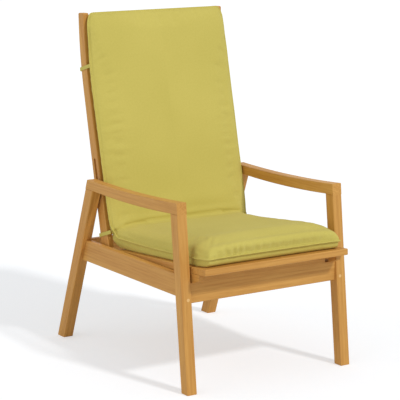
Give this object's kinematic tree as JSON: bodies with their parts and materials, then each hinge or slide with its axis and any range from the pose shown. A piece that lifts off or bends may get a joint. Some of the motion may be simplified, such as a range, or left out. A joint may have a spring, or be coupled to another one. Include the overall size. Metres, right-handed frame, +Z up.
{
  "type": "outdoor armchair",
  "caption": "Outdoor wooden armchair with raked legs, bowed arms, a seat that slides forward to recline the high slatted back, and a tied folded cushion.",
  "frame": {"origin": "bottom centre of the bounding box, on the ground under the four feet", "axes": "+X to the right seen from the front, -Y is the front of the chair, +Z up"},
  "size_m": [0.612, 0.8528, 1.0959],
  "materials": {
    "hardwood": "oiled, satin",
    "dowel_wood": "end grain, satin",
    "steel": "brushed stainless",
    "cushion_cloth": "plain woven, matte",
    "tie_cloth": "plain woven, matte"
  },
  "bodies": {
    "frame": {"front_leg_right": "hardwood", "front_leg_left": "hardwood", "rear_leg_right": "hardwood", "rear_leg_left": "hardwood", "arm_right": "hardwood", "arm_left": "hardwood", "side_rail_right": "hardwood", "side_rail_left": "hardwood", "front_apron": "hardwood", "rear_rail": "hardwood", "seat_bearer": "hardwood", "arm_dowels": "dowel_wood", "side_rail_dowels": "dowel_wood", "rear_rail_dowels": "dowel_wood", "bearer_dowels": "dowel_wood", "apron_pegs": "dowel_wood", "guide_pin_right": "steel", "guide_pin_left": "steel"},
    "seat": {"seat_rail_right": "hardwood", "seat_rail_left": "hardwood", "front_slat": "hardwood", "seat_slat_1": "hardwood", "seat_slat_2": "hardwood", "seat_slat_3": "hardwood", "seat_slat_4": "hardwood", "seat_slat_5": "hardwood", "seat_slat_6": "hardwood", "seat_ledger_right": "hardwood", "seat_ledger_left": "hardwood", "seat_stops": "hardwood", "slat_screws": "steel", "ledger_screws": "steel", "hinge_bolt_right": "steel", "hinge_bolt_left": "steel", "hinge_nuts": "steel", "seat_pad": "cushion_cloth"},
    "back": {"back_post_right": "hardwood", "back_post_left": "hardwood", "back_slat_1": "hardwood", "back_slat_2": "hardwood", "back_slat_3": "hardwood", "back_slat_4": "hardwood", "back_slat_5": "hardwood", "back_slat_6": "hardwood", "back_slat_7": "hardwood", "back_slat_8": "hardwood", "back_slat_9": "hardwood", "crest_rail": "hardwood", "foot_rail": "hardwood", "upper_tie_right": "tie_cloth", "upper_tie_left": "tie_cloth", "lower_tie_right": "tie_cloth", "lower_tie_left": "tie_cloth", "back_pad": "cushion_cloth"}
  },
  "joints": [
    {"name": "seat_slide", "type": "slide", "parent": "frame", "child": "seat", "axis": [0, -0.9973, 0.0741], "range_m": [0, 0.09]},
    {"name": "back_recline", "type": "hinge", "parent": "seat", "child": "back", "pos_m": [0, 0.16019, 0.32144], "axis": [-1, 0, 0], "range_deg": [0, 22.8]}
  ],
  "couplings": [
    {"joint": "back_recline", "follows": "seat_slide", "rad_per_m": 4.4157}
  ]
}
